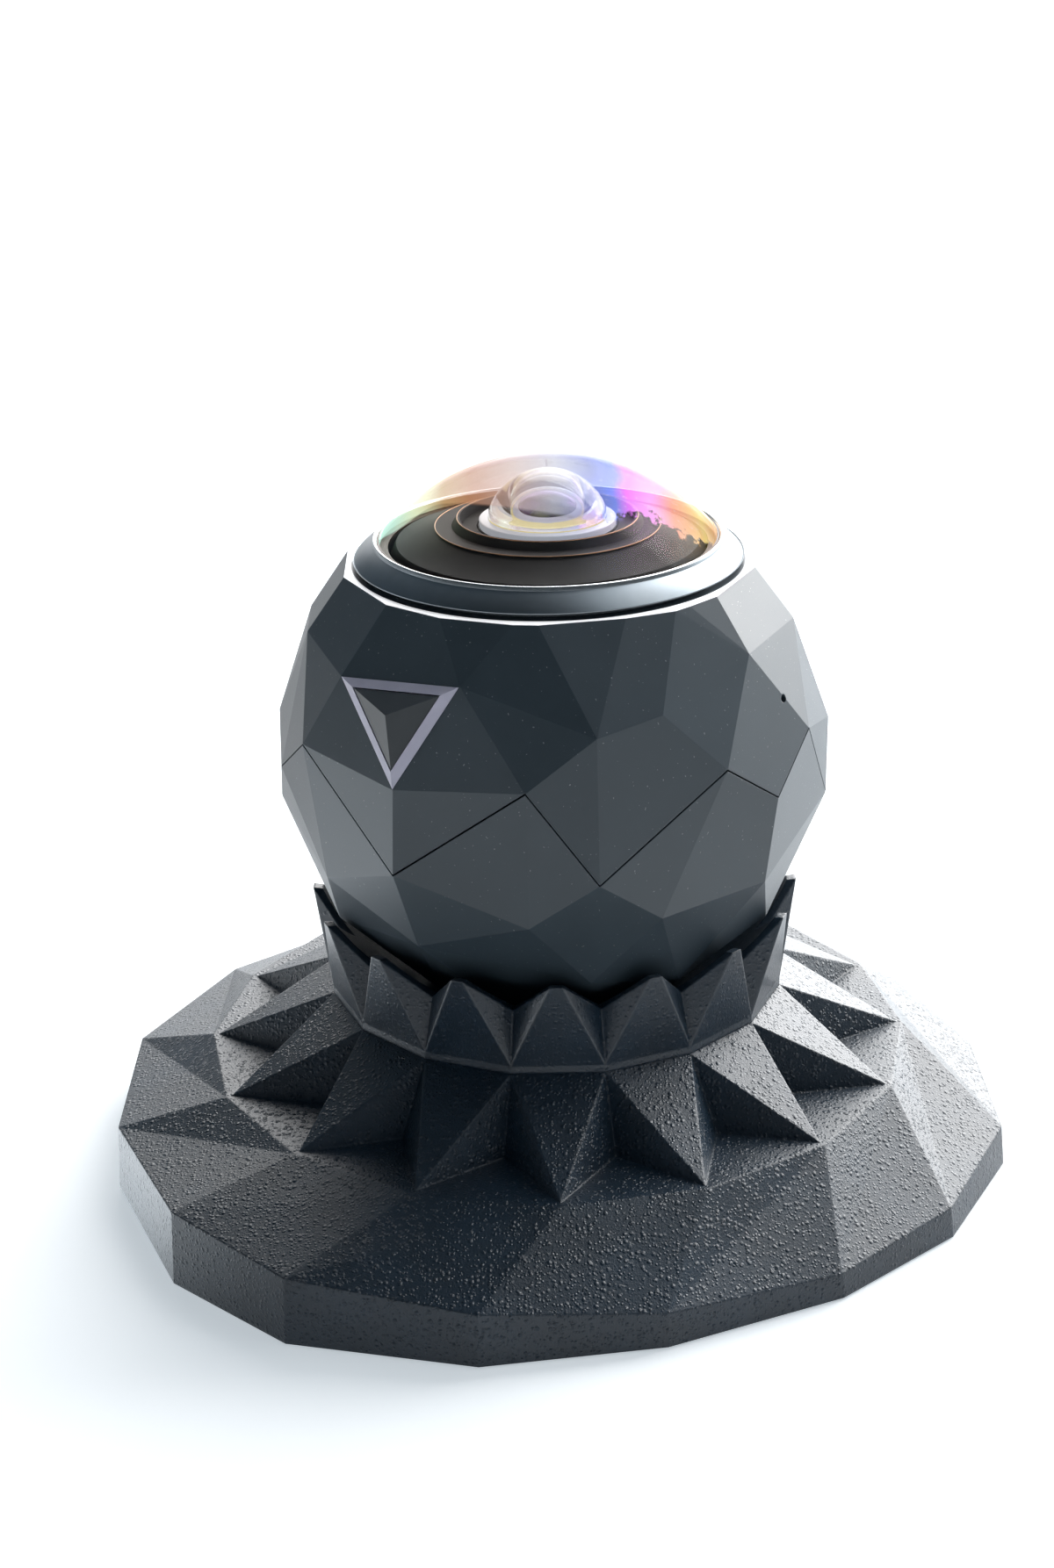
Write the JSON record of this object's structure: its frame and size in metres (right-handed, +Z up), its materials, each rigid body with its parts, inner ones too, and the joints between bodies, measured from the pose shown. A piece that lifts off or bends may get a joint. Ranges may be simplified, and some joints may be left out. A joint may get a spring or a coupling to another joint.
{
  "type": "dash cam",
  "caption": "Faceted ball camera with an upward fisheye lens under a glass dome, standing loose in a spiked cradle on a low many-sided foot",
  "frame": {"origin": "middle of the underside of the foot, on the axis of the cradle and ball", "axes": "+Z up along the lens axis, -Y to the front with the button on the left, +X to the right"},
  "size_m": [0.1001, 0.1014, 0.0797],
  "materials": {
    "shell_plastic": "fine satin, dark slate grey",
    "stand_resin": "rough, near-black charcoal",
    "black_rubber": "matt black",
    "seal_rubber": "thin brown bead",
    "screw_steel": "zinc grey",
    "bezel_metal": "satin gunmetal with a bright inner edge",
    "dome_glass": "clear, with a rainbow coating",
    "lens_glass": "clear, coated",
    "deck_plastic": "dark, with two fine copper-coloured edges",
    "barrel_black": "matt black",
    "ring_metal": "pale satin",
    "baffle_plastic": "pale yellow-beige",
    "guide_plastic": "translucent pale lavender grey",
    "button_plastic": "satin grey",
    "frame_plastic": "dark grey",
    "board_green": "solder-masked board",
    "chip_black": "moulded chips",
    "spreader_metal": "bare",
    "battery_wrap": "silver pouch",
    "brass_parts": "bare"
  },
  "bodies": {
    "stand": {"base_foot": "stand_resin", "cradle_crown": "stand_resin", "seat_ring": "black_rubber", "ballast_plate": "screw_steel", "foot_pad": "black_rubber", "crown_screws": "screw_steel"},
    "button": {"button_cap": "button_plastic", "light_guide": "guide_plastic"},
    "camera": {"upper_shell": "shell_plastic", "lower_shell": "shell_plastic", "parting_seal": "black_rubber", "mic_boot": "black_rubber", "dome_seal": "seal_rubber", "cap_screws": "screw_steel", "board_screws": "screw_steel", "chassis_screws": "screw_steel", "shield_can": "screw_steel", "vibration_motor": "screw_steel", "lens_bezel": "bezel_metal", "dome_cover": "dome_glass", "front_element": "lens_glass", "second_element": "lens_glass", "third_element": "lens_glass", "rear_element": "lens_glass", "ir_filter": "lens_glass", "lens_deck": "deck_plastic", "lens_barrel": "barrel_black", "aperture_stop": "barrel_black", "lens_spacers": "barrel_black", "sensor_holder": "barrel_black", "button_housing": "barrel_black", "front_ring": "ring_metal", "baffle_ring": "baffle_plastic", "chassis": "frame_plastic", "battery_tray": "frame_plastic", "base_cap": "frame_plastic", "main_board": "board_green", "sensor_board": "board_green", "button_board": "board_green", "image_sensor": "chip_black", "radio_module": "chip_black", "antenna": "chip_black", "microphone": "chip_black", "button_switch": "chip_black", "heat_spreader": "spreader_metal", "battery": "battery_wrap", "tripod_insert": "brass_parts", "contact_pads": "brass_parts"}
  },
  "joints": [
    {"name": "camera_lift", "type": "slide", "parent": "stand", "child": "camera", "axis": [0, 0, 1], "range_m": [0, 0.04]},
    {"name": "button_press", "type": "slide", "parent": "camera", "child": "button", "axis": [0.5706, 0.7141, -0.4055], "range_m": [0, 0.0006], "stiffness_N_per_m": 800}
  ]
}
